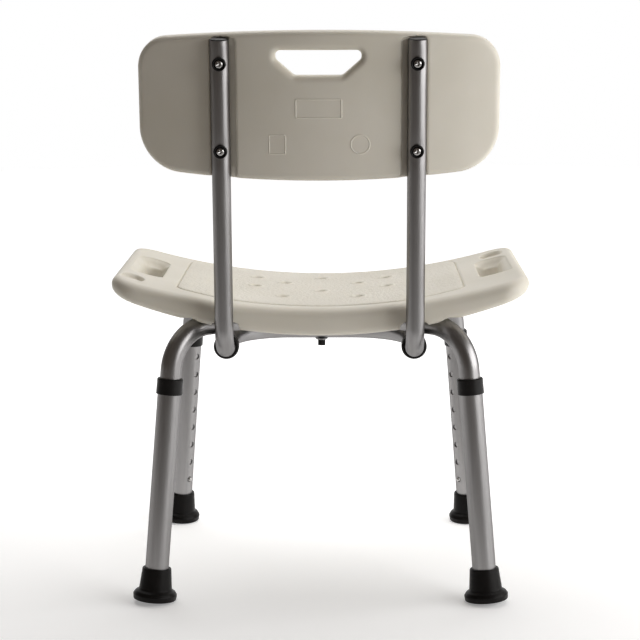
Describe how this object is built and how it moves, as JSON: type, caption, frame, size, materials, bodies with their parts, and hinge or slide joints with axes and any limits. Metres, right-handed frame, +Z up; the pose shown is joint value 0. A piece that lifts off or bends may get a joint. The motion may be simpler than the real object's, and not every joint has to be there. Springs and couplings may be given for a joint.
{
  "type": "shower chair",
  "caption": "Bath and shower chair with a dished plastic seat with hand holes and drain holes, a curved backrest on two bent tubes, and splayed height-adjustable legs on rubber feet.",
  "frame": {"origin": "on the floor under the middle of the chair", "axes": "+Z up, the sitter faces -Y, the backrest is on the +Y side, X runs across the seat"},
  "size_m": [0.509, 0.4134, 0.6915],
  "materials": {
    "shell": "moulded, fine pebble grain",
    "anodised_tube": "satin anodised",
    "chrome": "bright plated",
    "steel": "plain zinc plated",
    "black_plastic": "moulded, satin",
    "rubber": "moulded, dull"
  },
  "bodies": {
    "frame": {"frame_tube_upper": "anodised_tube", "frame_tube_lower": "anodised_tube", "centre_bolt": "steel", "centre_washer": "steel", "centre_cap_nut": "black_plastic", "back_receiver": "anodised_tube", "receiver_bush_left": "black_plastic", "receiver_bush_right": "black_plastic", "seat_panel": "shell", "seat_screw_rear_left": "steel", "seat_screw_rear_right": "steel", "seat_screw_front_left": "steel", "seat_screw_front_right": "steel", "leg_clip_rear_left": "steel", "leg_clip_rear_right": "steel", "leg_clip_front_left": "steel", "leg_clip_front_right": "steel"},
    "leg_rear_left": {"leg_rear_left": "anodised_tube", "collar_rear_left": "black_plastic", "foot_rear_left": "rubber", "foot_washer_rear_left": "steel"},
    "leg_rear_right": {"leg_rear_right": "anodised_tube", "collar_rear_right": "black_plastic", "foot_rear_right": "rubber", "foot_washer_rear_right": "steel"},
    "leg_front_left": {"leg_front_left": "anodised_tube", "collar_front_left": "black_plastic", "foot_front_left": "rubber", "foot_washer_front_left": "steel"},
    "leg_front_right": {"leg_front_right": "anodised_tube", "collar_front_right": "black_plastic", "foot_front_right": "rubber", "foot_washer_front_right": "steel"},
    "leg_button_rear_left": {"leg_button_rear_left": "chrome"},
    "leg_button_rear_right": {"leg_button_rear_right": "chrome"},
    "leg_button_front_left": {"leg_button_front_left": "chrome"},
    "leg_button_front_right": {"leg_button_front_right": "chrome"},
    "backrest": {"backrest_panel": "shell", "back_tube_left": "anodised_tube", "back_tube_right": "anodised_tube", "back_clip_left": "steel", "back_clip_right": "steel", "back_tube_cap_left": "black_plastic", "back_tube_cap_right": "black_plastic", "cup_washer_left_upper": "black_plastic", "cup_washer_left_lower": "black_plastic", "cup_washer_right_upper": "black_plastic", "cup_washer_right_lower": "black_plastic", "back_screw_left_upper": "chrome", "back_screw_left_lower": "chrome", "back_screw_right_upper": "chrome", "back_screw_right_lower": "chrome"},
    "back_button_left": {"back_button_left": "chrome"},
    "back_button_right": {"back_button_right": "chrome"}
  },
  "joints": [
    {"name": "leg_slide_rear_left", "type": "slide", "parent": "frame", "child": "leg_rear_left", "axis": [0.0807, 0.0715, -0.9942], "range_m": [0, 0.1778], "deforming": ["leg_button_rear_left", "leg_clip_rear_left"]},
    {"name": "leg_slide_rear_right", "type": "slide", "parent": "frame", "child": "leg_rear_right", "axis": [-0.0807, 0.0715, -0.9942], "range_m": [0, 0.1778], "deforming": ["leg_button_rear_right", "leg_clip_rear_right"]},
    {"name": "leg_slide_front_left", "type": "slide", "parent": "frame", "child": "leg_front_left", "axis": [0.0807, -0.0715, -0.9942], "range_m": [0, 0.1778], "deforming": ["leg_button_front_left", "leg_clip_front_left"]},
    {"name": "leg_slide_front_right", "type": "slide", "parent": "frame", "child": "leg_front_right", "axis": [-0.0807, -0.0715, -0.9942], "range_m": [0, 0.1778], "deforming": ["leg_button_front_right", "leg_clip_front_right"]},
    {"name": "leg_button_press_rear_left", "type": "slide", "parent": "frame", "child": "leg_button_rear_left", "axis": [0.7439, 0.6596, 0.1078], "range_m": [0, 0.0045], "stiffness_N_per_m": 1500, "springref_m": -0.002, "deforming": ["leg_clip_rear_left"]},
    {"name": "leg_button_press_rear_right", "type": "slide", "parent": "frame", "child": "leg_button_rear_right", "axis": [-0.7439, 0.6596, 0.1078], "range_m": [0, 0.0045], "stiffness_N_per_m": 1500, "springref_m": -0.002, "deforming": ["leg_clip_rear_right"]},
    {"name": "leg_button_press_front_left", "type": "slide", "parent": "frame", "child": "leg_button_front_left", "axis": [0.7439, -0.6596, 0.1078], "range_m": [0, 0.0045], "stiffness_N_per_m": 1500, "springref_m": -0.002, "deforming": ["leg_clip_front_left"]},
    {"name": "leg_button_press_front_right", "type": "slide", "parent": "frame", "child": "leg_button_front_right", "axis": [-0.7439, -0.6596, 0.1078], "range_m": [0, 0.0045], "stiffness_N_per_m": 1500, "springref_m": -0.002, "deforming": ["leg_clip_front_right"]},
    {"name": "backrest_slide", "type": "slide", "parent": "frame", "child": "backrest", "axis": [0, 1, 0], "range_m": [0, 0.05], "deforming": ["back_button_left", "back_clip_left", "back_button_right", "back_clip_right"]},
    {"name": "back_button_press_left", "type": "slide", "parent": "backrest", "child": "back_button_left", "axis": [0, 0, 1], "range_m": [0, 0.0045], "stiffness_N_per_m": 1500, "springref_m": -0.002, "deforming": ["back_clip_left"]},
    {"name": "back_button_press_right", "type": "slide", "parent": "backrest", "child": "back_button_right", "axis": [0, 0, 1], "range_m": [0, 0.0045], "stiffness_N_per_m": 1500, "springref_m": -0.002, "deforming": ["back_clip_right"]}
  ]
}
